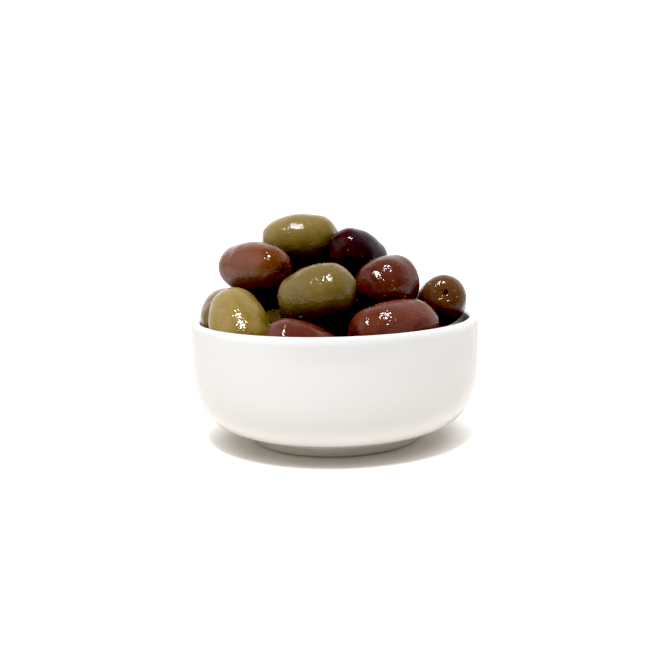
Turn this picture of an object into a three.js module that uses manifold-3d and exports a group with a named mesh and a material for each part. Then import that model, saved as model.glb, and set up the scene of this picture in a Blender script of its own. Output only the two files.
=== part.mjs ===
// A small round porcelain bowl, heaped with whole table olives.
// Millimetres, +Z up. The origin is the centre of the ring that the bowl stands on.
import * as THREE from "three";
import { mergeVertices } from "three/addons/utils/BufferGeometryUtils.js";
import Module from "manifold-3d";

// The bowl: a straight-sided round bowl on a low foot ring, one glazed piece.
const BOWL_RADIUS = 45;
const BOWL_HEIGHT = 38.7;
const WALL = 3;
const LIP_RADIUS = WALL / 2; // the lip is rounded over the whole wall
const STRAIGHT_FROM = 36; // above this height the wall is upright
const BODY_BOTTOM = 5.2; // underside of the body, outside the foot
const BODY_FLAT_RADIUS = 24.8; // the body's underside is flat out to here
const FLOOR_TOP = 8.4; // inside floor of the bowl
const FLOOR_FLAT_RADIUS = 22;
const WALL_SQUARENESS = 3.5; // exponent of the rounded corner: 2 is a circle
const FOOT_RADIUS = 26.9; // outer radius where the foot meets the table
const FOOT_TOP_RADIUS = 28;
const FOOT_RING_WIDTH = 3;
const FOOT_EDGE = 0.5; // small round on the foot's outer and inner edges
const FOOT_RECESS = 3.2; // depth of the hollow under the bowl
const BOWL_SIDES = 64;
const WALL_STEPS = 8;
const LIP_STEPS = 6;

// The heap: a core that fills the bowl, and the whole olives that lie on it.
const GAP = 0.35; // free space between the heap and the bowl
const CORE_EDGE_HEIGHT = 34.8; // height of the core where it meets the wall
const CORE_TOP = 41;
const CORE_PEAK = 1.6; // 1 is a round dome, more is hollow at the edge and steeper
const CORE_SIDES = 40;
const CORE_STEPS = 7;
const OLIVE_SIDES = 12;
const OLIVE_STEPS = 8;
const END_BLUNTNESS = 0.86; // 1 is an ellipse, less is blunter
const STALK_END_FATNESS = 0.05; // how much fatter the stalk half is than the tip half
const STALK_DIMPLE = 0.9;
const STALK_DIMPLE_RADIUS = 2;

// Each olive: its middle, its length and girth, and the way its tip points:
// heading is measured from +X towards +Y, and tilt upwards, both in degrees.
const OLIVES = {
  crown: [
    { at: [-10.6, 12.6, 62], length: 25.8, girth: 16.4, heading: 8, tilt: 9 },
    { at: [8.2, 7.2, 57.1], length: 20.3, girth: 14.8, heading: 29, tilt: -25 },
    { at: [-24.6, 0.2, 54.2], length: 27.6, girth: 16, heading: 135, tilt: 1 },
  ],
  shoulder: [
    { at: [-5.3, -17, 47.2], length: 24.3, girth: 17.5, heading: -20, tilt: 18 },
    { at: [15.9, -8.8, 49.1], length: 20, girth: 17, heading: -4, tilt: 13 },
    { at: [18.3, 11.8, 42.8], length: 21, girth: 15, heading: 82, tilt: 0 },
    { at: [6.5, 23.5, 50.2], length: 22, girth: 15.6, heading: 10, tilt: 4 },
    { at: [-11, 24, 51.8], length: 23, girth: 15.6, heading: 8, tilt: -2 },
    { at: [-3.5, 1.6, 47.2], length: 21, girth: 15.6, heading: 8, tilt: 4 },
    { at: [-20, 9.5, 44.8], length: 22, girth: 15.2, heading: 150, tilt: 10 },
  ],
  rim: [
    { at: [33.8, -1, 42.5], length: 22, girth: 15.2, heading: -85, tilt: 17 },
    { at: [16.9, -23.5, 37.2], length: 28.6, girth: 16.8, heading: 25, tilt: 6 },
    { at: [-9.3, -31, 32.6], length: 25.4, girth: 16.9, heading: 11, tilt: -20 },
    { at: [-28.3, -19, 38.8], length: 26, girth: 17.2, heading: 110, tilt: 40 },
    { at: [-33.1, -4, 40.1], length: 22, girth: 15.4, heading: 94, tilt: 11 },
    { at: [-29, 15, 36.5], length: 23, girth: 15.6, heading: 64, tilt: 4 },
    { at: [-9, 31.5, 36.5], length: 24, girth: 16.2, heading: 194, tilt: 6 },
    { at: [11.6, 30.9, 36], length: 21, girth: 15.4, heading: 168, tilt: 6 },
    { at: [28.4, 20, 35.5], length: 19, girth: 14.8, heading: 124, tilt: 0 },
  ],
  inner: [
    { at: [32, -11.5, 28.5], length: 22, girth: 15, heading: 60, tilt: -5 },
    { at: [34, 4.5, 26.4], length: 20, girth: 15, heading: 98, tilt: 3 },
    { at: [5.5, -33.2, 29.2], length: 21, girth: 15, heading: 9, tilt: 0 },
    { at: [-34, -11.5, 29], length: 20, girth: 14.8, heading: 108, tilt: 0 },
    { at: [31.5, 13.5, 26.8], length: 20, girth: 14.8, heading: 112, tilt: 0 },
    { at: [23.2, 24.2, 26.8], length: 20, girth: 14.8, heading: 136, tilt: 0 },
    { at: [-21, -26.5, 29], length: 20, girth: 14.8, heading: 142, tilt: 0 },
    { at: [-15.5, -11, 34.6], length: 20, girth: 15, heading: 150, tilt: 10 },
    { at: [4.5, -7, 32.5], length: 20, girth: 15, heading: 10, tilt: 5 },
    { at: [14.5, -2.5, 35.2], length: 20, girth: 15, heading: 130, tilt: 5 },
    { at: [-1, 16, 37], length: 22, girth: 15.4, heading: 20, tilt: 5 },
    { at: [-9.5, 2.5, 33], length: 20, girth: 15, heading: 10, tilt: 5 },
  ],
};

const wasm = await Module();
wasm.setup();

// A closed geometry as a solid that can be joined and cut.
function solidFrom(geometry) {
  const bare = geometry.clone();
  bare.deleteAttribute("normal");
  bare.deleteAttribute("uv");
  const merged = mergeVertices(bare, 1e-4);
  return new wasm.Manifold(
    new wasm.Mesh({
      numProp: 3,
      vertProperties: merged.attributes.position.array,
      triVerts: new Uint32Array(merged.index.array),
    }),
  );
}

// The solid's triangles as a geometry.
function geometryFrom(solid) {
  const mesh = solid.getMesh();
  const geometry = new THREE.BufferGeometry();
  geometry.setAttribute("position", new THREE.BufferAttribute(mesh.vertProperties, 3));
  geometry.setIndex(new THREE.BufferAttribute(mesh.triVerts, 1));
  geometry.computeVertexNormals();
  return geometry;
}

// A turned form round the Z axis, from a profile of (radius, height) points, bottom to top outside.
function turned(profile, sides) {
  const geometry = new THREE.LatheGeometry(profile, sides);
  geometry.rotateX(Math.PI / 2);
  return geometry;
}

// Points from the flat bottom of a wall, round its corner, up to the height where it is upright.
function cornerCurve(flatRadius, wallRadius, bottom, steps) {
  const power = 2 / WALL_SQUARENESS;
  const points = [];
  for (let i = 0; i <= steps; i++) {
    const angle = ((1 - i / steps) * Math.PI) / 2;
    points.push(
      new THREE.Vector2(
        flatRadius + (wallRadius - flatRadius) * Math.cos(angle) ** power,
        STRAIGHT_FROM - (STRAIGHT_FROM - bottom) * Math.sin(angle) ** power,
      ),
    );
  }
  return points;
}

// Points of an arc about a centre, from one angle to another, both in degrees.
function arc(radius, height, size, from, to, steps) {
  const points = [];
  for (let i = 0; i <= steps; i++) {
    const angle = THREE.MathUtils.degToRad(from + ((to - from) * i) / steps);
    points.push(
      new THREE.Vector2(radius + size * Math.cos(angle), height + size * Math.sin(angle)),
    );
  }
  return points;
}

function bowl() {
  const footInner = FOOT_RADIUS - FOOT_RING_WIDTH;
  const innerRadius = BOWL_RADIUS - WALL;
  const underside = [
    new THREE.Vector2(0, FOOT_RECESS),
    new THREE.Vector2(footInner - FOOT_EDGE, FOOT_RECESS),
    new THREE.Vector2(footInner, FOOT_EDGE),
    new THREE.Vector2(footInner + FOOT_EDGE, 0),
    ...arc(FOOT_RADIUS - FOOT_EDGE, FOOT_EDGE, FOOT_EDGE, -90, 0, 3),
  ];
  const outside = cornerCurve(BODY_FLAT_RADIUS, BOWL_RADIUS, BODY_BOTTOM, WALL_STEPS);
  const body = outside.filter((point) => point.x > FOOT_TOP_RADIUS + FOOT_EDGE);
  const foot = new THREE.Vector2(FOOT_TOP_RADIUS, BODY_BOTTOM - FOOT_EDGE / 2);
  const lip = arc(BOWL_RADIUS - LIP_RADIUS, BOWL_HEIGHT - LIP_RADIUS, LIP_RADIUS, 0, 180, LIP_STEPS);
  const inside = cornerCurve(FLOOR_FLAT_RADIUS, innerRadius, FLOOR_TOP, WALL_STEPS).reverse();
  const floorMiddle = new THREE.Vector2(0, FLOOR_TOP);
  return turned([...underside, foot, ...body, ...lip, ...inside, floorMiddle], BOWL_SIDES);
}

// One olive: a long round fruit, a little fatter at the stalk end, which has a shallow dimple.
function olive({ at, length, girth, heading, tilt }) {
  // the corners stand a little outside the round form and the flats a little inside it
  const radius = girth / 2 / Math.sqrt(Math.cos(Math.PI / OLIVE_SIDES));
  const profile = [new THREE.Vector2(0, -length / 2 + STALK_DIMPLE)];
  profile.push(new THREE.Vector2(STALK_DIMPLE_RADIUS, -length / 2 + STALK_DIMPLE / 4));
  for (let i = 1; i < OLIVE_STEPS; i++) {
    const angle = (i / OLIVE_STEPS) * Math.PI;
    const fatness = 1 + STALK_END_FATNESS * Math.cos(angle);
    const across = Math.sin(angle) ** END_BLUNTNESS;
    profile.push(
      new THREE.Vector2(radius * across * fatness, (-length / 2) * Math.cos(angle)),
    );
  }
  profile.push(new THREE.Vector2(0, length / 2));
  const geometry = new THREE.LatheGeometry(profile, OLIVE_SIDES);
  const turn = THREE.MathUtils.degToRad(heading);
  const rise = THREE.MathUtils.degToRad(tilt);
  const tip = new THREE.Vector3(
    Math.cos(rise) * Math.cos(turn),
    Math.cos(rise) * Math.sin(turn),
    Math.sin(rise),
  );
  const along = new THREE.Vector3(0, 1, 0);
  geometry.applyQuaternion(new THREE.Quaternion().setFromUnitVectors(along, tip));
  geometry.translate(...at);
  return geometry;
}

// The space inside the bowl, less the gap, and open above the rim.
function insideOfBowl() {
  const radius = BOWL_RADIUS - WALL - GAP;
  const wall = cornerCurve(FLOOR_FLAT_RADIUS, radius, FLOOR_TOP + GAP, WALL_STEPS);
  return turned(
    [
      new THREE.Vector2(0, FLOOR_TOP + GAP),
      ...wall,
      new THREE.Vector2(radius, BOWL_HEIGHT + GAP),
      new THREE.Vector2(2 * BOWL_RADIUS, BOWL_HEIGHT + GAP),
      new THREE.Vector2(2 * BOWL_RADIUS, 3 * BOWL_HEIGHT),
      new THREE.Vector2(0, 3 * BOWL_HEIGHT),
    ],
    BOWL_SIDES,
  );
}

// The olives that can't be seen, as one domed body with no olive of its own.
function core() {
  const radius = BOWL_RADIUS - WALL - GAP;
  const dome = [];
  for (let i = 0; i <= CORE_STEPS; i++) {
    const angle = ((i / CORE_STEPS) * Math.PI) / 2;
    dome.push(
      new THREE.Vector2(
        radius * Math.cos(angle),
        CORE_EDGE_HEIGHT + (CORE_TOP - CORE_EDGE_HEIGHT) * Math.sin(angle) ** CORE_PEAK,
      ),
    );
  }
  dome[CORE_STEPS].x = 0;
  return turned([new THREE.Vector2(0, 0), new THREE.Vector2(radius, 0), ...dome], CORE_SIDES);
}

// Core and olives joined and kept inside the bowl: the outer skin alone, so that no hollow is sealed in.
function heap() {
  const pieces = Object.values(OLIVES).flat();
  let joined = solidFrom(core());
  for (const piece of pieces) joined = joined.add(solidFrom(olive(piece)));
  const fitted = joined.intersect(solidFrom(insideOfBowl()));
  const bodies = fitted.decompose();
  bodies.sort((a, b) => b.volume() - a.volume());
  return geometryFrom(bodies[0]);
}

const glaze = new THREE.MeshStandardMaterial({ color: 0xf1efea, roughness: 0.12, metalness: 0 });
const skin = new THREE.MeshStandardMaterial({ color: 0x6a4526, roughness: 0.25, metalness: 0 });

function named(name, geometry, material) {
  const mesh = new THREE.Mesh(geometry, material);
  mesh.name = name;
  return mesh;
}

const dish = new THREE.Group();
dish.add(named("bowl", bowl(), glaze));
dish.add(named("olives", heap(), skin));

export default dish;
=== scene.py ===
import math
import random

import bpy
from mathutils import Matrix, Vector


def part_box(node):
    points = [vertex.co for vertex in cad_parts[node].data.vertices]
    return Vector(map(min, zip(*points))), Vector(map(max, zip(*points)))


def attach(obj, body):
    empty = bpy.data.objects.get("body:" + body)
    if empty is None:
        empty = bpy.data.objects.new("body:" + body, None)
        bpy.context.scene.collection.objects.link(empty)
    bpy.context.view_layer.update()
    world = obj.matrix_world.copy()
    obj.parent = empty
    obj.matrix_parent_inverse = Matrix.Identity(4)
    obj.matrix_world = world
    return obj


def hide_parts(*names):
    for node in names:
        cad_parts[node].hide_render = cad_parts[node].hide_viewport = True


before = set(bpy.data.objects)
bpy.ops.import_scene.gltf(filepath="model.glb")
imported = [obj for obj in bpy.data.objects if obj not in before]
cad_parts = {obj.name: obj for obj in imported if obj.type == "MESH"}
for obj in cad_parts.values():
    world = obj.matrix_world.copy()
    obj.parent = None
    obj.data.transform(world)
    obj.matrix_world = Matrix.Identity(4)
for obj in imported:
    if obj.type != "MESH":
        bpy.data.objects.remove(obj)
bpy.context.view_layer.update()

# ---- Camera ------------------------------------------------------------------
# A normal lens, a forearm's length in front of the bowl and a little above its
# rim, held a degree and a half out of level.
MM = 0.001
EYE = Vector((-3.0, -282.1, 77.9)) * MM
LOOKS_DOWN = math.radians(8.55)
OUT_OF_LEVEL = math.radians(-1.5)
FIELD_PIXELS = 650
FOCAL_PIXELS = 900

bpy.ops.object.camera_add(location=EYE)
camera = bpy.context.object
camera.name = "camera"
camera.rotation_mode = "ZXY"
camera.rotation_euler = (math.pi / 2 - LOOKS_DOWN, 0, OUT_OF_LEVEL)
camera.data.sensor_width = 36
camera.data.lens = 36 * FOCAL_PIXELS / FIELD_PIXELS
camera.data.clip_start = 0.01
camera.data.clip_end = 50
bpy.context.scene.camera = camera

# ---- Table and light -----------------------------------------------------------
# A white table top that stops short of the camera and glows with painted light from a little way out from
# the bowl to its far end, so that the shade round the foot ends where the glow begins; a white wall round
# the far side of it, a window low on the left, a dim room for the rest, and one softbox high over the lens
# and a little to the left.
TABLE_SIZE = 40
TABLE_BEFORE_BOWL = 0.2
TABLE_GLOW_REFLECTED = 0.15
TABLE_GLOW_FROM = 0.031
TABLE_GLOW_FULL = 0.056
SOFTBOX_SIZE = (0.28, 0.22)
SOFTBOX_DISTANCE = 1.5
SOFTBOX_HEADING = -101
SOFTBOX_ELEVATION = 66
SOFTBOX_POWER = 20.5
HEAP_MIDDLE = Vector((0, -8, 45)) * MM
WALL_LIGHT = 1.3
WALL_TO_THE_RIGHT = 0.48
WALL_SIDES = (-0.15, 0.8)
WALL_TOP = (0.45, 1.15)
WINDOW_LIGHT = 0.7
WINDOW_WAY = (-0.88, -0.24, 0.42)
WINDOW_EDGE = 0.7
ROOM_LIGHT = 0.13
BACKDROP_LIGHT = 1.3
BLACK_POINT = 0.016


def node(tree, kind, **settings):
    """A new node of a kind, with values given by socket name or property name."""
    made = tree.nodes.new("ShaderNode" + kind)
    for name, value in settings.items():
        socket = made.inputs.get(name.replace("_", " ").title())
        if socket is not None:
            socket.default_value = value
        else:
            setattr(made, name, value)
    return made


def mapped(tree, source, low, high, to_low=0.0, to_high=1.0):
    """The output of a soft step of a value from one range to another."""
    step = node(tree, "MapRange", interpolation_type="SMOOTHSTEP")
    step.inputs["From Min"].default_value = low
    step.inputs["From Max"].default_value = high
    step.inputs["To Min"].default_value = to_low
    step.inputs["To Max"].default_value = to_high
    tree.links.new(source, step.inputs["Value"])
    return step.outputs["Result"]


def worked(tree, operation, first, second):
    """The output of a sum on two values, each a socket or a number."""
    sum_node = node(tree, "Math", operation=operation)
    for slot_in, value in zip(sum_node.inputs, (first, second)):
        if isinstance(value, (int, float)):
            slot_in.default_value = value
        else:
            tree.links.new(value, slot_in)
    return sum_node.outputs[0]


def direction(heading, tilt):
    """The unit vector along a heading, from +X towards +Y, and upwards by a tilt, in degrees."""
    flat = math.cos(math.radians(tilt))
    return Vector(
        (
            flat * math.cos(math.radians(heading)),
            flat * math.sin(math.radians(heading)),
            math.sin(math.radians(tilt)),
        )
    )


bpy.ops.mesh.primitive_plane_add(size=TABLE_SIZE)
table = bpy.context.object
table.name = "table"
table.data.transform(Matrix.Translation((0, TABLE_SIZE / 2 - TABLE_BEFORE_BOWL, 0)))
table_paint = bpy.data.materials.new("table_white")
table_paint.use_nodes = True
tree = table_paint.node_tree
shader = tree.nodes["Principled BSDF"]
shader.inputs["Base Color"].default_value = (0.83, 0.78, 0.705, 1)
shader.inputs["Roughness"].default_value = 0.6
shader.inputs["Emission Color"].default_value = (1, 1, 1, 1)
place = node(tree, "TexCoord")
reach = node(tree, "VectorMath", operation="LENGTH")
tree.links.new(place.outputs["Object"], reach.inputs[0])
# Painted light: the table glows more and more from 31 to 56 mm out from the bowl's axis, fully for the
# camera and at 0.15 for everything else.
glow = mapped(tree, reach.outputs["Value"], TABLE_GLOW_FROM, TABLE_GLOW_FULL)
sight = node(tree, "LightPath")
share = worked(tree, "MAXIMUM", sight.outputs["Is Camera Ray"], TABLE_GLOW_REFLECTED)
tree.links.new(worked(tree, "MULTIPLY", glow, share), shader.inputs["Emission Strength"])
table.data.materials.append(table_paint)

softbox_way = direction(SOFTBOX_HEADING, SOFTBOX_ELEVATION)
bpy.ops.object.light_add(type="AREA", location=HEAP_MIDDLE + softbox_way * SOFTBOX_DISTANCE)
softbox = bpy.context.object
softbox.name = "softbox"
softbox.rotation_euler = softbox_way.to_track_quat("Z", "Y").to_euler()
softbox.data.shape = "RECTANGLE"
softbox.data.size = SOFTBOX_SIZE[0]
softbox.data.size_y = SOFTBOX_SIZE[1]
softbox.data.energy = SOFTBOX_POWER

world = bpy.data.worlds.new("studio")
bpy.context.scene.world = world
world.use_nodes = True
tree = world.node_tree
backdrop = tree.nodes["Background"]
backdrop.inputs["Color"].default_value = (1, 1, 1, 1)
way = node(tree, "TexCoord")
split = node(tree, "SeparateXYZ")
tree.links.new(way.outputs["Generated"], split.inputs[0])
to_the_right = worked(tree, "MULTIPLY", split.outputs["X"], WALL_TO_THE_RIGHT)
behind = mapped(tree, worked(tree, "ADD", to_the_right, split.outputs["Y"]), *WALL_SIDES)
low = mapped(tree, split.outputs["Z"], *WALL_TOP, WALL_LIGHT - ROOM_LIGHT, 0.0)
toward = node(tree, "VectorMath", operation="DOT_PRODUCT")
tree.links.new(way.outputs["Generated"], toward.inputs[0])
toward.inputs[1].default_value = WINDOW_WAY
window = mapped(
    tree, toward.outputs["Value"], WINDOW_EDGE, 1.0, ROOM_LIGHT, ROOM_LIGHT + WINDOW_LIGHT
)
lit = worked(tree, "ADD", worked(tree, "MULTIPLY", behind, low), window)
sight = node(tree, "LightPath")
shown = node(tree, "Mix", data_type="FLOAT")
tree.links.new(sight.outputs["Is Camera Ray"], shown.inputs["Factor"])
tree.links.new(lit, shown.inputs["A"])
shown.inputs["B"].default_value = BACKDROP_LIGHT
tree.links.new(shown.outputs["Result"], backdrop.inputs["Strength"])

view = bpy.context.scene.view_settings
view.view_transform = "Standard"
view.look = "None"
view.exposure = 0
view.use_curve_mapping = True
view.curve_mapping.black_level = (BLACK_POINT, BLACK_POINT, BLACK_POINT)
view.curve_mapping.update()

# ---- Bowl --------------------------------------------------------------------
# White porcelain, thrown and turned as one piece: an upright wall with a rounded lip, a square-shouldered
# belly and a low foot ring. The lower part of the foot ring is painted darker and warmer, as painted shade
# under the belly, and the flat of it, which stood in the kiln, is rough bare clay.
BOWL_HIGH = Vector(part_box("bowl")[1])
BOWL_RADIUS = BOWL_HIGH.x
BOWL_HEIGHT = BOWL_HIGH.z
WALL = 3.0 * MM
LIP_RADIUS = WALL / 2
LIP_FALL = 2.7 * MM
STRAIGHT_FROM = 36 * MM
BODY_BOTTOM = 4.7 * MM
BODY_FLAT_RADIUS = 24.8 * MM
FLOOR_TOP = 8.4 * MM
FLOOR_FLAT_RADIUS = 22 * MM
WALL_SQUARENESS = 3.5
FOOT_RADIUS = 26.9 * MM
FOOT_TOP_RADIUS = 28 * MM
FOOT_RING_WIDTH = 3 * MM
FOOT_EDGE = 0.6 * MM
FOOT_UNDERCUT = 1.4 * MM
FOOT_RECESS = 3.2 * MM
FOOT_FLARE = 0.25 * MM
FOOT_FLARE_BELOW_BODY = 1.2 * MM
BOWL_TURN_STEPS = 128
FULL_GLAZE = (0.89, 0.897, 0.908)
THIN_GLAZE = (0.72, 0.68, 0.61)
GLAZE_THIN_TO = 2.4 * MM
GLAZE_FULL_FROM = 3.5 * MM
GLAZE_ROUGHNESS = 0.12
CLAY_ROUGHNESS = 0.7
KILN_FLAT = (0.05 * MM, 0.25 * MM)


def corner_curve(flat_radius, wall_radius, bottom, steps):
    """Points (radius, height) from a flat bottom round the corner of a wall to where it is upright."""
    points = []
    for i in range(steps + 1):
        angle = (1 - i / steps) * math.pi / 2
        across = max(0, math.cos(angle)) ** (2 / WALL_SQUARENESS)
        down = math.sin(angle) ** (2 / WALL_SQUARENESS)
        points.append(
            (
                flat_radius + (wall_radius - flat_radius) * across,
                STRAIGHT_FROM - (STRAIGHT_FROM - bottom) * down,
            )
        )
    return points


def arc(radius, height, size, first, last, steps):
    """Points (radius, height) round a centre, from one angle to another in degrees."""
    angles = [math.radians(first + (last - first) * i / steps) for i in range(steps + 1)]
    return [(radius + size * math.cos(a), height + size * math.sin(a)) for a in angles]


def turn_round(name, profile, steps):
    """A closed form turned round the upright axis from an outline that starts and ends on the axis."""
    bpy.ops.object.select_all(action="DESELECT")
    mesh = bpy.data.meshes.new(name)
    mesh.from_pydata([(r, 0, z) for r, z in profile], [(i, i + 1) for i in range(len(profile) - 1)], [])
    turned = bpy.data.objects.new(name, mesh)
    bpy.context.collection.objects.link(turned)
    turned.select_set(True)
    bpy.context.view_layer.objects.active = turned
    bpy.ops.object.mode_set(mode="EDIT")
    bpy.ops.mesh.select_all(action="SELECT")
    bpy.ops.mesh.spin(steps=steps, angle=2 * math.pi, center=(0, 0, 0), axis=(0, 0, 1))
    bpy.ops.mesh.select_all(action="SELECT")
    bpy.ops.mesh.remove_doubles(threshold=0.005 * MM)
    bpy.ops.mesh.normals_make_consistent(inside=False)
    bpy.ops.object.mode_set(mode="OBJECT")
    bpy.ops.object.shade_smooth()
    return turned


def mixed(tree, factor, first, second):
    """The output of a mix of two colours, each a socket or three numbers."""
    mix = node(tree, "Mix", data_type="RGBA")
    for name, value in (("A", first), ("B", second)):
        socket = [s for s in mix.inputs if s.name == name and s.type == "RGBA"][0]
        if isinstance(value, tuple):
            socket.default_value = (*value, 1)
        else:
            tree.links.new(value, socket)
    tree.links.new(factor, mix.inputs["Factor"])
    return [s for s in mix.outputs if s.type == "RGBA"][0]


foot_inner = FOOT_RADIUS - FOOT_RING_WIDTH
foot_edge = arc(FOOT_RADIUS - FOOT_EDGE, FOOT_EDGE, FOOT_EDGE, -90, 0, 4)
belly = corner_curve(BODY_FLAT_RADIUS, BOWL_RADIUS, BODY_BOTTOM, 26)
lip = arc(BOWL_RADIUS - LIP_RADIUS, BOWL_HEIGHT - LIP_RADIUS, LIP_RADIUS, 0, 180, 16)
bowl_outline = [
    (0, FOOT_RECESS),
    (foot_inner - 3 * FOOT_EDGE, FOOT_RECESS),
    *arc(foot_inner - 2 * FOOT_EDGE, FOOT_RECESS - 2 * FOOT_EDGE, 2 * FOOT_EDGE, 90, 0, 4),
    *arc(foot_inner + FOOT_EDGE, FOOT_EDGE, FOOT_EDGE, 180, 270, 4),
    *[(FOOT_RADIUS - (FOOT_RADIUS - r) * FOOT_UNDERCUT / FOOT_EDGE, z) for r, z in foot_edge],
    (FOOT_TOP_RADIUS - FOOT_FLARE, BODY_BOTTOM - FOOT_FLARE_BELOW_BODY),
    (FOOT_TOP_RADIUS, BODY_BOTTOM - FOOT_EDGE / 2),
    *[(r, z) for r, z in belly if r > FOOT_TOP_RADIUS + FOOT_EDGE and z < BOWL_HEIGHT - LIP_FALL],
    *[(r, BOWL_HEIGHT - (BOWL_HEIGHT - z) * LIP_FALL / LIP_RADIUS) for r, z in lip[:8]],
    *lip[8:],
    *corner_curve(FLOOR_FLAT_RADIUS, BOWL_RADIUS - WALL, FLOOR_TOP, 20)[::-1],
    (0, FLOOR_TOP),
]
bowl = turn_round("porcelain_bowl", bowl_outline, BOWL_TURN_STEPS)
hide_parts("bowl")
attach(bowl, "root")

glaze = bpy.data.materials.new("porcelain_glaze")
glaze.use_nodes = True
tree = glaze.node_tree
shader = tree.nodes["Principled BSDF"]
place = node(tree, "TexCoord")
split = node(tree, "SeparateXYZ")
tree.links.new(place.outputs["Object"], split.inputs[0])
# Painted shade: the foot ring darkens and warms below 3.5 mm, fully below 2.4 mm.
cover = mapped(tree, split.outputs["Z"], GLAZE_THIN_TO, GLAZE_FULL_FROM)
tree.links.new(mixed(tree, cover, THIN_GLAZE, FULL_GLAZE), shader.inputs["Base Color"])
bare = mapped(tree, split.outputs["Z"], *KILN_FLAT, CLAY_ROUGHNESS, GLAZE_ROUGHNESS)
tree.links.new(bare, shader.inputs["Roughness"])
bowl.data.materials.append(glaze)

# ---- Heart of the heap -------------------------------------------------------
# What lies under the olives that show: more olives, so closely packed that they are one low dome, painted
# near black and dull as painted shade for the deep shade between them.
HEART_GAP = 0.5 * MM
HEART_EDGE_HEIGHT = 22 * MM
HEART_TOP = 33 * MM
HEART_STEPS = 8
heart_radius = BOWL_RADIUS - WALL - HEART_GAP
heart_wall = corner_curve(FLOOR_FLAT_RADIUS, heart_radius, FLOOR_TOP + HEART_GAP, 16)
heart_wall = [point for point in heart_wall if point[1] < HEART_EDGE_HEIGHT]
edge_radius, edge_height = heart_wall[-1]
heart_dome = []
for i in range(1, HEART_STEPS):
    angle = i / HEART_STEPS * math.pi / 2
    rise = (HEART_TOP - edge_height) * math.sin(angle)
    heart_dome.append((edge_radius * math.cos(angle), edge_height + rise))
heart_outline = [(0, FLOOR_TOP + HEART_GAP), *heart_wall, *heart_dome, (0, HEART_TOP)]
heart = turn_round("heap_heart", heart_outline, 64)
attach(heart, "root")
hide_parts("olives")
# Painted shade: near black and dull, standing for the hidden olives in deep shade.
dark = bpy.data.materials.new("heap_dark")
dark.use_nodes = True
shader = dark.node_tree.nodes["Principled BSDF"]
shader.inputs["Base Color"].default_value = (0.012, 0.006, 0.004, 1)
shader.inputs["Roughness"].default_value = 0.8
shader.inputs["Specular IOR Level"].default_value = 0.1
heart.data.materials.append(dark)

# ---- A plain olive -----------------------------------------------------------
# The fruit that every olive in the heap is grown from, standing on its stalk
# end: long and round, a puckered dimple with a small hole where the stalk came
# out, and a low nipple at the tip.
PLAIN_LENGTH = 24 * MM
PLAIN_GIRTH = 16 * MM
DIMPLE_DEPTH = 0.75 * MM
DIMPLE_REACH = 3.4 * MM
HOLE_DEPTH = 1.3 * MM
NIPPLE_HEIGHT = 0.6 * MM
NIPPLE_REACH = 2.3 * MM
HOLE_RADIUS = 1.6 * MM
HOLE_LIP = 0.22 * MM
HOLE_NARROWS_TO = 0.7
PUCKERS = 7
PUCKERS_FROM = 1.2 * MM
PUCKERS_TO = 3.6 * MM
PUCKER_DEPTH = 0.16 * MM
PUCKER_NARROWNESS = 0.55
SHOULDER_FROM = 9.4 * MM
SHOULDER_MIDDLE = 10 * MM
SHOULDER_REACH = 7 * MM
STALK_END_FATTER = 1.2
TIP_FATTER = 1.12
STALK_END_FROM = 9 * MM
POLE_FROM = 11.9 * MM


def select_where(piece, wanted):
    """Leaves the piece in edit mode with the vertices selected whose place answers the test."""
    bpy.ops.object.mode_set(mode="EDIT")
    bpy.ops.mesh.select_mode(type="VERT")
    bpy.ops.mesh.select_all(action="DESELECT")
    bpy.ops.object.mode_set(mode="OBJECT")
    for vertex in piece.data.vertices:
        vertex.select = wanted(vertex.co)
    bpy.ops.object.mode_set(mode="EDIT")


bpy.ops.object.select_all(action="DESELECT")
bpy.ops.mesh.primitive_uv_sphere_add(segments=42, ring_count=28, radius=PLAIN_GIRTH / 2)
plain_olive = bpy.context.object
plain_olive.name = "plain_olive"
bpy.ops.object.mode_set(mode="EDIT")
bpy.ops.mesh.select_all(action="SELECT")
bpy.ops.transform.resize(value=(1, 1, PLAIN_LENGTH / PLAIN_GIRTH))
for end, fatter in ((-1, STALK_END_FATTER), (1, TIP_FATTER)):
    select_where(plain_olive, lambda co: end * co.z > SHOULDER_FROM)
    bpy.ops.transform.resize(
        value=(fatter, fatter, 1),
        center_override=(0, 0, end * SHOULDER_MIDDLE),
        use_proportional_edit=True,
        proportional_edit_falloff="SMOOTH",
        proportional_size=SHOULDER_REACH,
    )
select_where(plain_olive, lambda co: co.z < -POLE_FROM)
bpy.ops.transform.translate(
    value=(0, 0, DIMPLE_DEPTH),
    use_proportional_edit=True,
    proportional_edit_falloff="SMOOTH",
    proportional_size=DIMPLE_REACH,
)
select_where(plain_olive, lambda co: co.z > POLE_FROM)
bpy.ops.transform.translate(
    value=(0, 0, NIPPLE_HEIGHT),
    use_proportional_edit=True,
    proportional_edit_falloff="SHARP",
    proportional_size=NIPPLE_REACH,
)


def in_a_pucker(co):
    """True for the parts of the stalk end that are drawn in between its folds."""
    reach = math.hypot(co.x, co.y)
    if co.z > 0 or not PUCKERS_FROM < reach < PUCKERS_TO:
        return False
    return math.sin(PUCKERS * math.atan2(co.y, co.x)) > PUCKER_NARROWNESS


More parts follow.
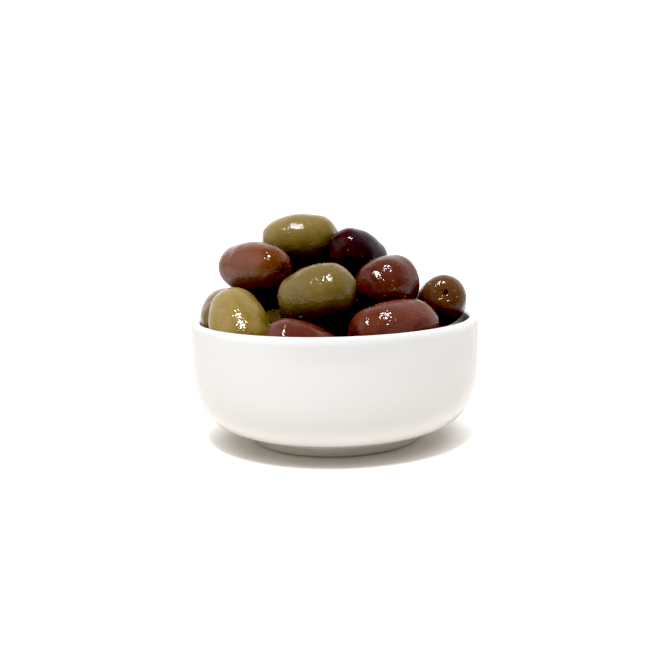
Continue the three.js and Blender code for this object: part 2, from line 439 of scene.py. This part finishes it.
select_where(plain_olive, in_a_pucker)
bpy.ops.transform.shrink_fatten(value=-PUCKER_DEPTH)
select_where(plain_olive, lambda co: co.z < -STALK_END_FROM and math.hypot(co.x, co.y) < HOLE_RADIUS)
bpy.ops.mesh.inset(thickness=HOLE_LIP)
bpy.ops.mesh.extrude_region_move(TRANSFORM_OT_translate={"value": (0, 0, HOLE_DEPTH)})
bpy.ops.transform.resize(
    value=(HOLE_NARROWS_TO, HOLE_NARROWS_TO, 1), center_override=(0, 0, -SHOULDER_MIDDLE)
)
bpy.ops.object.mode_set(mode="OBJECT")
smoother = plain_olive.modifiers.new("smoother", "SUBSURF")
smoother.levels = 1
bpy.ops.object.modifier_apply(modifier=smoother.name)
bpy.ops.object.shade_smooth()

LOST_IN_SMOOTHING = 1.02
GRAIN_SHIFT = Vector((37.3, 11.9, 23.1))
BLUSH_AT_MIDDLE = 0.5
BLUSH_TO_SIDE = 0.6
PRESSED_SPOT = 0.6 * MM
olives_laid = 0


def olive(at, length, girth, heading, tilt, turn=0, taper=-0.06, bend=2, tone=1, blush=(0, 90, 40)):
    """A copy of the plain olive with its own mesh, at its size and place in mm and degrees.

    Its tip points along the heading and the tilt. Tone and shade is how light its skin is: its own colour,
    and painted shade on the olives that lie deep in the heap. Blush and painted light is how much of its
    second colour it has, and the heading and tilt of the side that has it. Below zero it is how much paler
    that side is, as painted light on the side that the light falls on.
    """
    global olives_laid
    olives_laid += 1
    bpy.ops.object.select_all(action="DESELECT")
    fruit = plain_olive.copy()
    fruit.data = plain_olive.data.copy()
    bpy.context.collection.objects.link(fruit)
    fruit.select_set(True)
    bpy.context.view_layer.objects.active = fruit
    for method, amount in (("TAPER", taper), ("BEND", math.radians(bend))):
        deform = fruit.modifiers.new(method, "SIMPLE_DEFORM")
        deform.deform_method = method
        deform.deform_axis = "Z" if method == "TAPER" else "X"
        if method == "TAPER":
            deform.factor = amount
        else:
            deform.angle = amount
        bpy.ops.object.modifier_apply(modifier=deform.name)
    grain = fruit.data.attributes.new("grain", "FLOAT_VECTOR", "POINT")
    shift = GRAIN_SHIFT * olives_laid
    for vertex, own in zip(fruit.data.vertices, grain.data):
        own.vector = vertex.co / MM + shift
    across = LOST_IN_SMOOTHING * girth * MM / PLAIN_GIRTH
    size = Matrix.Diagonal((across, across, length * MM / PLAIN_LENGTH, 1))
    lie = direction(heading, tilt).to_track_quat("Z", "Y").to_matrix().to_4x4()
    spin = Matrix.Rotation(math.radians(turn), 4, "Z")
    middle = Vector(at) * MM
    fruit.data.transform(Matrix.Translation(middle) @ lie @ spin @ size)
    # Tone and shade: the skin's own lightness, and painted shade on olives deep in the heap.
    light = fruit.data.attributes.new("tone", "FLOAT", "POINT")
    rosy = fruit.data.attributes.new("blush", "FLOAT", "POINT")
    blush_share, *blush_way = blush
    for vertex, own_tone, own_blush in zip(fruit.data.vertices, light.data, rosy.data):
        out = (vertex.co - middle) / (length * MM / 2)
        own_tone.value = tone
        on_side = BLUSH_AT_MIDDLE + BLUSH_TO_SIDE * out.dot(direction(*blush_way))
        own_blush.value = blush_share * on_side
    return fruit


def press(fruit, spot, way, depth, reach):
    """Moves the skin of an olive at a spot, along a heading and tilt, by a depth in mm that fades out."""
    bpy.ops.object.select_all(action="DESELECT")
    fruit.select_set(True)
    bpy.context.view_layer.objects.active = fruit
    nearest = min(fruit.data.vertices, key=lambda vertex: (vertex.co - Vector(spot) * MM).length)
    middle = nearest.co.copy()
    select_where(fruit, lambda co: (co - middle).length < PRESSED_SPOT)
    bpy.ops.transform.translate(
        value=direction(*way) * depth * MM,
        use_proportional_edit=True,
        use_proportional_connected=True,
        proportional_edit_falloff="SMOOTH",
        proportional_size=reach * MM,
    )
    bpy.ops.object.mode_set(mode="OBJECT")


MOTTLE_EDGES = (0.3, 0.7)
STREAK_EDGES = (0.35, 0.7)
STREAK_STRETCH = (1.0, 1.0, 0.16)
DOTS_WHERE = (0.45, 0.62)
DOT_EDGES = (0.12, 0.26)
GRIT_HEIGHT = 0.28
LUMP_HEIGHT = 0.4
marks = bpy.data.node_groups.new("olive skin marks", "ShaderNodeTree")
marks.interface.new_socket("Grain", in_out="INPUT", socket_type="NodeSocketVector")
for name in ("Mottle", "Patch", "Streak", "Dots", "Height"):
    marks.interface.new_socket(name, in_out="OUTPUT", socket_type="NodeSocketFloat")
entry = marks.nodes.new("NodeGroupInput")
leave = marks.nodes.new("NodeGroupOutput")
blotch = node(marks, "TexNoise", scale=0.2, detail=4.0, roughness=0.6, distortion=0.5)
marks.links.new(entry.outputs["Grain"], blotch.inputs["Vector"])
marks.links.new(mapped(marks, blotch.outputs["Fac"], *MOTTLE_EDGES), leave.inputs["Mottle"])
patch = node(marks, "TexNoise", scale=0.09, detail=3.0, roughness=0.5, distortion=1.0)
marks.links.new(entry.outputs["Grain"], patch.inputs["Vector"])
marks.links.new(patch.outputs["Fac"], leave.inputs["Patch"])
stretch = node(marks, "Mapping")
stretch.inputs["Scale"].default_value = STREAK_STRETCH
marks.links.new(entry.outputs["Grain"], stretch.inputs["Vector"])
streak = node(marks, "TexNoise", scale=0.55, detail=3.0, roughness=0.6, distortion=0.8)
marks.links.new(stretch.outputs["Vector"], streak.inputs["Vector"])
marks.links.new(mapped(marks, streak.outputs["Fac"], *STREAK_EDGES), leave.inputs["Streak"])
dots = node(marks, "TexVoronoi", scale=0.8, randomness=1.0)
marks.links.new(entry.outputs["Grain"], dots.inputs["Vector"])
where_dots = mapped(marks, blotch.outputs["Fac"], *DOTS_WHERE)
small_dots = mapped(marks, dots.outputs["Distance"], *DOT_EDGES, 1.0, 0.0)
marks.links.new(worked(marks, "MULTIPLY", where_dots, small_dots), leave.inputs["Dots"])
grit = node(marks, "TexNoise", scale=1.7, detail=0.0, distortion=0.3)
marks.links.new(entry.outputs["Grain"], grit.inputs["Vector"])
swell = node(marks, "TexNoise", scale=0.35, detail=2.0, roughness=0.5)
marks.links.new(entry.outputs["Grain"], swell.inputs["Vector"])
rough = worked(marks, "MULTIPLY", grit.outputs["Fac"], GRIT_HEIGHT)
lumps = worked(marks, "MULTIPLY", swell.outputs["Fac"], LUMP_HEIGHT)
marks.links.new(worked(marks, "ADD", rough, lumps), leave.inputs["Height"])

STREAKS_SHOW = 0.16
DOTS_SHOW = 0.3
BLUSH_EDGES = (0.35, 0.75)
UNRIPE_EDGES = (-0.1, -0.8)


def olive_skin(name, deep, main, pale, second, gloss=0.05, relief_height=0.42, shine=0.5):
    """Oily olive skin: mottled from a deep to a pale colour, with a second colour on the blushed side, and
    the pale colour as painted light on a side that the light falls on.
    """
    skin = bpy.data.materials.new(name)
    skin.use_nodes = True
    tree = skin.node_tree
    shader = tree.nodes["Principled BSDF"]
    grain = node(tree, "Attribute", attribute_name="grain")
    tone = node(tree, "Attribute", attribute_name="tone")
    blush = node(tree, "Attribute", attribute_name="blush")
    skin_marks = tree.nodes.new("ShaderNodeGroup")
    skin_marks.node_tree = marks
    tree.links.new(grain.outputs["Vector"], skin_marks.inputs["Grain"])
    ground = mixed(tree, skin_marks.outputs["Mottle"], deep, main)
    fibres = worked(tree, "MULTIPLY", skin_marks.outputs["Streak"], STREAKS_SHOW)
    ground = mixed(tree, fibres, ground, pale)
    uneven = worked(tree, "SUBTRACT", skin_marks.outputs["Patch"], 0.5)
    edge = worked(tree, "ADD", blush.outputs["Fac"], uneven)
    ground = mixed(tree, mapped(tree, edge, *BLUSH_EDGES), ground, second)
    # Painted light: where the blush value is below zero, that side is mixed towards the pale colour.
    unripe = mapped(tree, blush.outputs["Fac"], *UNRIPE_EDGES)
    ground = mixed(tree, unripe, ground, pale)
    spots = worked(tree, "MULTIPLY", skin_marks.outputs["Dots"], DOTS_SHOW)
    ground = mixed(tree, spots, ground, pale)
    # Tone and shade darkens the whole skin: its own colour, and painted shade deep in the heap.
    shade = node(tree, "HueSaturation")
    tree.links.new(ground, shade.inputs["Color"])
    tree.links.new(tone.outputs["Fac"], shade.inputs["Value"])
    tree.links.new(shade.outputs["Color"], shader.inputs["Base Color"])
    relief = node(tree, "Bump", strength=1.0, distance=relief_height * MM)
    tree.links.new(skin_marks.outputs["Height"], relief.inputs["Height"])
    tree.links.new(relief.outputs["Normal"], shader.inputs["Normal"])
    shader.inputs["Roughness"].default_value = gloss
    shader.inputs["IOR"].default_value = 1.46
    shader.inputs["Specular IOR Level"].default_value = shine
    shader.inputs["Subsurface Weight"].default_value = 0.12
    shader.inputs["Subsurface Radius"].default_value = (1.0, 0.5, 0.2)
    shader.inputs["Subsurface Scale"].default_value = 0.001
    return skin


# The wavelength and the height of the lumps of soft flesh, slow ones and fine ones.
FLESH_LUMPS = ((9 * MM, 0.6 * MM), (3.2 * MM, 0.06 * MM))


def heap_piece(name, fruits, skin):
    """One piece of all the olives of a kind, with the lumps of soft, pickled flesh."""
    bpy.ops.object.select_all(action="DESELECT")
    for fruit in fruits:
        fruit.select_set(True)
    bpy.context.view_layer.objects.active = fruits[0]
    bpy.ops.object.join()
    piece = bpy.context.object
    piece.name = name
    for wave, height in FLESH_LUMPS:
        clouds = bpy.data.textures.new(name + "_lumps", "CLOUDS")
        clouds.noise_scale = wave
        lumps = piece.modifiers.new("lumps", "DISPLACE")
        lumps.texture = clouds
        lumps.texture_coords = "LOCAL"
        lumps.strength = height
        lumps.mid_level = 0.5
        bpy.ops.object.modifier_apply(modifier=lumps.name)
    piece.data.materials.append(skin)
    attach(piece, "root")
    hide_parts("olives")
    return piece


# ---- Green olives ------------------------------------------------------------
# Unripe olives, dull green to yellow green, firm and smooth, with faint pale
# streaks under the skin. A long one lies on top of the heap.
green_fruits = [
    # The first three are paler on their upper left sides, as painted light.
    olive((-10.6, 12.6, 62.1), 25.8, 16.5, 6, 2.4, taper=0.08, tone=0.94, blush=(-0.55, 200, 65)),
    olive((-5.3, -17.0, 47.2), 24.3, 17.5, -20, 18, taper=0.06, tone=0.75, blush=(-0.55, 180, 60)),
    olive((-28.4, -19.0, 38.8), 26.2, 17.7, 110, 40, taper=-0.12, tone=1.18, blush=(-0.55, 170, 40)),
    olive((-33.8, -4.0, 40.2), 22.0, 15.5, 94, 11, tone=0.5, blush=(1.2, 180, 10)),
    olive((11.6, 30.9, 36.0), 21.0, 15.4, 168, 6, turn=60),
    # These two lie deep in the heap, and their low tones are painted shade.
    olive((-20.0, 9.5, 44.8), 22.0, 15.2, 150, 10, tone=0.35, turn=200),
    olive((-15.5, -11.0, 34.6), 20.0, 15.0, 150, 10, tone=0.3, turn=20),
    olive((31.5, 13.5, 26.8), 20.0, 14.8, 112, 0, turn=140),
]
press(green_fruits[0], (-20.0, 9.0, 67.5), (0, -60), 0.9, 7)
press(green_fruits[0], (-1.0, 7.0, 67.5), (-90, 50), 0.22, 6.5)
press(green_fruits[1], (-5.0, -24.1, 52.6), (86, -37), 0.42, 6)
green_skin = olive_skin(
    "green_olive_skin",
    deep=(0.17, 0.115, 0.018),
    main=(0.26, 0.175, 0.037),
    pale=(0.36, 0.265, 0.11),
    second=(0.36, 0.25, 0.05),
)
green_heap = heap_piece("green_olives", green_fruits, green_skin)

# ---- Brown olives ------------------------------------------------------------
# Half ripe olives: amber brown where the skin is thin, mauve where it has begun
# to darken. The one on the left shows its stalk hole, the one on the right its
# whole puckered stalk end.
brown_fruits = [
    olive((-24.6, 0.2, 54.4), 27.8, 16.0, 135, -1.0, taper=0.07, bend=-22, tone=1.05, blush=(1.2, 170, 20)),
    # This one is paler on its upper side, as painted light.
    olive((33.8, -1.0, 42.1), 22.0, 15.2, 91, -22, bend=8, tone=0.53, blush=(-0.9, 90, 70)),
    # Among the olives below, the low tones of those deep in the heap are painted shade.
    olive((6.5, 23.5, 50.2), 22.0, 15.6, 10, 4, tone=0.5),
    olive((-29.0, 15.0, 36.5), 23.0, 15.6, 64, 4, turn=90, blush=(0.6, 90, 40)),
    olive((13.2, -2.0, 37.0), 20.0, 15.0, 130, 5, tone=0.15),
    olive((-21.0, -26.5, 29.0), 20.0, 14.8, 142, 0),
]
press(brown_fruits[1], (33.9, -11.2, 46.3), (91, -22), 0.6, 3.6)
brown_skin = olive_skin(
    "brown_olive_skin",
    deep=(0.13, 0.035, 0.007),
    main=(0.2, 0.067, 0.02),
    pale=(0.28, 0.13, 0.06),
    second=(0.2, 0.07, 0.043),
)
brown_heap = heap_piece("brown_olives", brown_fruits, brown_skin)

# ---- Purple olives -----------------------------------------------------------
# Ripe olives, maroon to reddish brown, and softer than the green ones. Two of
# them are dented a little in front.
purple_fruits = [
    olive((15.8, -9.0, 48.7), 20.2, 17.4, 217, -9, taper=-0.13, bend=10, tone=0.8, blush=(0.85, 70, 60)),
    olive((16.9, -23.5, 37.2), 29.0, 16.6, 25, 6, taper=0.07, bend=14, tone=1.07, blush=(0.75, -65, 45)),
    olive((-9.3, -31.0, 32.6), 25.4, 16.9, 11, -20, tone=0.93, blush=(0.75, 185, 20)),
    # Among the olives below, the low tones of those deep in the heap are painted shade.
    olive((-3.5, 1.6, 47.2), 21.0, 15.6, 8, 4, tone=0.6),
    olive((32.0, -11.5, 28.5), 22.0, 15.0, 60, -5),
    olive((-9.0, 31.5, 36.5), 24.0, 16.2, 194, 6, blush=(0.7, 90, 40)),
    olive((28.4, 20.0, 35.5), 19.0, 14.8, 124, 0, tone=0.7, turn=50),
    olive((4.5, -7.0, 32.5), 20.0, 15.0, 10, 5, tone=0.5),
    olive((-9.5, 2.5, 33.0), 20.0, 15.0, 10, 5),
]
press(purple_fruits[1], (12.5, -32.0, 40.5), (80, -25), 0.8, 5.5)
press(purple_fruits[0], (15.0, -16.1, 54.1), (86, -37), 0.35, 5)
purple_skin = olive_skin(
    "purple_olive_skin",
    deep=(0.1, 0.018, 0.01),
    main=(0.16, 0.036, 0.02),
    pale=(0.21, 0.075, 0.045),
    second=(0.16, 0.055, 0.04),
    relief_height=0.34,
)
purple_heap = heap_piece("purple_olives", purple_fruits, purple_skin)

# ---- Dark olives -------------------------------------------------------------
# Fully ripe olives, nearly black with a maroon glow, and rather small. Most lie
# low in the bowl or at the back.
dark_fruits = [
    olive((8.2, 7.2, 57.2), 20.3, 14.7, 208, 26, taper=0.08, blush=(0.9, -30, 5)),
    olive((18.3, 11.8, 42.8), 21.0, 15.0, 82, 0, tone=0.8),
    olive((-11.0, 24.0, 51.8), 23.0, 15.6, 8, -2, blush=(0.5, 90, 40)),
    olive((34.0, 4.5, 26.4), 20.0, 15.0, 98, 3),
    olive((5.5, -33.2, 29.2), 21.0, 15.0, 9, 0),
    olive((-34.0, -11.5, 29.0), 20.0, 14.8, 108, 0),
    olive((23.2, 24.2, 26.8), 20.0, 14.8, 136, 0),
    olive((-1.0, 16.0, 37.0), 22.0, 15.4, 20, 5),
]
dark_skin = olive_skin(
    "dark_olive_skin",
    deep=(0.018, 0.002, 0.003),
    main=(0.08, 0.009, 0.012),
    pale=(0.06, 0.012, 0.015),
    second=(0.035, 0.016, 0.02),
    relief_height=0.25,
    shine=0.35,
)
dark_heap = heap_piece("dark_olives", dark_fruits, dark_skin)
bpy.data.objects.remove(plain_olive)

# ---- Herb and pepper flecks ----------------------------------------------------
# What the marinade leaves on the olives: crumbs of dried oregano, flakes of red
# pepper and golden seed husks, a few tenths of a millimetre to two millimetres
# long, stuck flat to the oily skins.
heap_pieces = [green_heap, brown_heap, purple_heap, dark_heap, heart]
FLECK_COLOURS = {
    "gold": (0.42, 0.27, 0.07),
    "orange": (0.45, 0.11, 0.025),
    "green": (0.2, 0.17, 0.05),
    "pale": (0.5, 0.42, 0.25),
}
# Flecks that stand out: the pixel they show at, length, width, colour and turn.
FLECKS_IN_SIGHT = [
    ((285, 327), 2.2, 0.8, "gold", 80),
    ((291, 315), 1.4, 0.6, "orange", 60),
    ((301, 317), 1.3, 0.7, "pale", 0),
    ((380, 304), 1.7, 0.6, "green", 5),
    ((376, 305), 0.7, 0.5, "gold", 5),
    ((422, 284), 0.8, 0.6, "green", 0),
    ((426, 283), 1.0, 0.6, "green", 20),
    ((430, 284), 0.8, 0.5, "gold", 40),
    ((387, 265), 0.5, 0.35, "orange", 0),
    ((380, 282), 0.6, 0.4, "orange", 50),
    ((393, 281), 0.5, 0.4, "pale", 0),
    ((392, 285), 0.4, 0.4, "pale", 0),
    ((406, 277), 0.7, 0.5, "green", 30),
    ((394, 289), 0.9, 0.7, "green", 70),
    ((405, 297), 0.8, 0.6, "green", 0),
    ((398, 265), 0.9, 0.5, "orange", 10),
    ((304, 270), 0.8, 0.4, "orange", 30),
    ((308, 267), 0.9, 0.5, "green", 50),
    ((313, 265), 0.8, 0.4, "orange", 10),
    ((317, 263), 0.9, 0.4, "green", 0),
    ((327, 264), 0.9, 0.4, "green", 0),
    ((332, 266), 0.7, 0.4, "orange", 0),
    ((319, 232), 0.5, 0.3, "orange", 0),
    ((222, 322), 0.6, 0.4, "gold", 60),
    ((232, 306), 0.5, 0.4, "gold", 0),
    ((237, 309), 0.5, 0.4, "gold", 0),
    ((238, 333), 0.8, 0.5, "orange", 0),
    ((348, 250), 0.7, 0.5, "green", 30),
    ((456, 290), 0.5, 0.4, "orange", 0),
    ((457, 297), 0.8, 0.5, "gold", 20),
]
FLECK_THICKNESS = 0.35
FLECK_TOP = 0.75
FLECK_SUNK = 0.1
FLECK_RAGGED = (0.75, 1.2)
SMALL_FLECKS = 110
SMALL_FLECK_REACH = 41 * MM
SMALL_FLECKS_ABOVE = 30 * MM
SMALL_FLECK_LENGTHS = (0.25, 0.6)
SMALL_FLECK_WIDTH = 0.7
SMALL_FLECK_TURN = 37
DROPPED_FROM = 90 * MM
flecks = []
random.seed(7)


def hit_on_heap(start, way):
    """The nearest place on the olives that a ray meets, with the normal there, or nothing."""
    found = []
    for piece in heap_pieces:
        hit, spot, normal = piece.ray_cast(start, way)[:3]
        if hit:
            found.append(((spot - start).length, spot, normal))
    return min(found, key=lambda each: each[0])[1:] if found else None


def seen_at(across, down):
    """The place on the olives that the camera shows at a pixel of its picture."""
    camera_turn = camera.matrix_world.to_3x3()
    half = FIELD_PIXELS / 2
    way = camera_turn @ Vector((across - half, half - down, -FOCAL_PIXELS)).normalized()
    return hit_on_heap(EYE, way)


def fleck(spot, normal, length, width, colour, turn):
    """A thin crumb with ragged edges that lies on the skin, its size in mm."""
    bpy.ops.object.select_all(action="DESELECT")
    bpy.ops.mesh.primitive_circle_add(vertices=7, radius=0.5, fill_type="NGON")
    crumb = bpy.context.object
    bpy.ops.object.mode_set(mode="EDIT")
    bpy.ops.mesh.select_all(action="SELECT")
    bpy.ops.mesh.extrude_region_move(TRANSFORM_OT_translate={"value": (0, 0, FLECK_THICKNESS)})
    bpy.ops.transform.resize(value=(FLECK_TOP, FLECK_TOP, 1))
    bpy.ops.mesh.select_all(action="SELECT")
    bpy.ops.mesh.normals_make_consistent(inside=False)
    bpy.ops.object.mode_set(mode="OBJECT")
    for vertex in crumb.data.vertices:
        vertex.co *= random.uniform(*FLECK_RAGGED)
        vertex.co.z -= FLECK_SUNK
    size = Matrix.Diagonal((length * MM, width * MM, min(length, width) * MM, 1))
    spin = Matrix.Rotation(math.radians(turn), 4, "Z")
    lie = normal.to_track_quat("Z", "Y").to_matrix().to_4x4()
    crumb.data.transform(Matrix.Translation(spot) @ lie @ spin @ size)
    paint = crumb.data.attributes.new("shade", "FLOAT_COLOR", "POINT")
    dim = random.uniform(0.7, 1.15)
    for own in paint.data:
        own.color = (*[channel * dim for channel in FLECK_COLOURS[colour]], 1)
    flecks.append(crumb)


bpy.context.view_layer.update()
for at_pixel, length, width, colour, turn in FLECKS_IN_SIGHT:
    found = seen_at(*at_pixel)
    if found:
        fleck(*found, length, width, colour, turn)
for i in range(SMALL_FLECKS):
    heading = random.uniform(0, 2 * math.pi)
    reach = SMALL_FLECK_REACH * math.sqrt(random.random())
    top = Vector((reach * math.cos(heading), reach * math.sin(heading), DROPPED_FROM))
    found = hit_on_heap(top, Vector((0, 0, -1)))
    if found and found[0].z > SMALL_FLECKS_ABOVE:
        length = random.uniform(*SMALL_FLECK_LENGTHS)
        colour = random.choice(("gold", "green", "orange", "pale"))
        fleck(*found, length, length * SMALL_FLECK_WIDTH, colour, i * SMALL_FLECK_TURN)
bpy.ops.object.select_all(action="DESELECT")
for crumb in flecks:
    crumb.select_set(True)
bpy.context.view_layer.objects.active = flecks[0]
bpy.ops.object.join()
herb = bpy.context.object
herb.name = "herb_flecks"
herb_paint = bpy.data.materials.new("herb_flecks")
herb_paint.use_nodes = True
shader = herb_paint.node_tree.nodes["Principled BSDF"]
shade = node(herb_paint.node_tree, "Attribute", attribute_name="shade")
herb_paint.node_tree.links.new(shade.outputs["Color"], shader.inputs["Base Color"])
shader.inputs["Roughness"].default_value = 0.25
herb.data.materials.append(herb_paint)
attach(herb, "root")

# ---- Beads of oil --------------------------------------------------------------
# Olive oil that has run down and hangs in beads where olives touch: the pixel that
# each bead shows at, and its width in mm.
BEADS_IN_SIGHT = [
    ((253, 291), 1.3),
    ((288, 279), 1.1),
    ((279, 297), 0.8),
    ((326, 320), 0.7),
    ((344, 330), 0.8),
]
BEAD_FLATNESS = 0.6
beads = []
for at_pixel, width in BEADS_IN_SIGHT:
    found = seen_at(*at_pixel)
    if not found:
        continue
    spot, normal = found
    bpy.ops.object.select_all(action="DESELECT")
    bpy.ops.mesh.primitive_uv_sphere_add(segments=20, ring_count=12, radius=0.5 * width * MM)
    bead = bpy.context.object
    bead.data.transform(Matrix.Diagonal((1, 1, BEAD_FLATNESS, 1)))
    lie = normal.to_track_quat("Z", "Y").to_matrix().to_4x4()
    bead.data.transform(Matrix.Translation(spot) @ lie)
    beads.append(bead)
bpy.ops.object.select_all(action="DESELECT")
for bead in beads:
    bead.select_set(True)
bpy.context.view_layer.objects.active = beads[0]
bpy.ops.object.join()
bpy.ops.object.shade_smooth()
oil = bpy.context.object
oil.name = "oil_beads"
oil_clear = bpy.data.materials.new("olive_oil")
oil_clear.use_nodes = True
shader = oil_clear.node_tree.nodes["Principled BSDF"]
shader.inputs["Base Color"].default_value = (0.85, 0.78, 0.4, 1)
shader.inputs["Roughness"].default_value = 0.04
shader.inputs["IOR"].default_value = 1.47
shader.inputs["Transmission Weight"].default_value = 1.0
oil.data.materials.append(oil_clear)
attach(oil, "root")
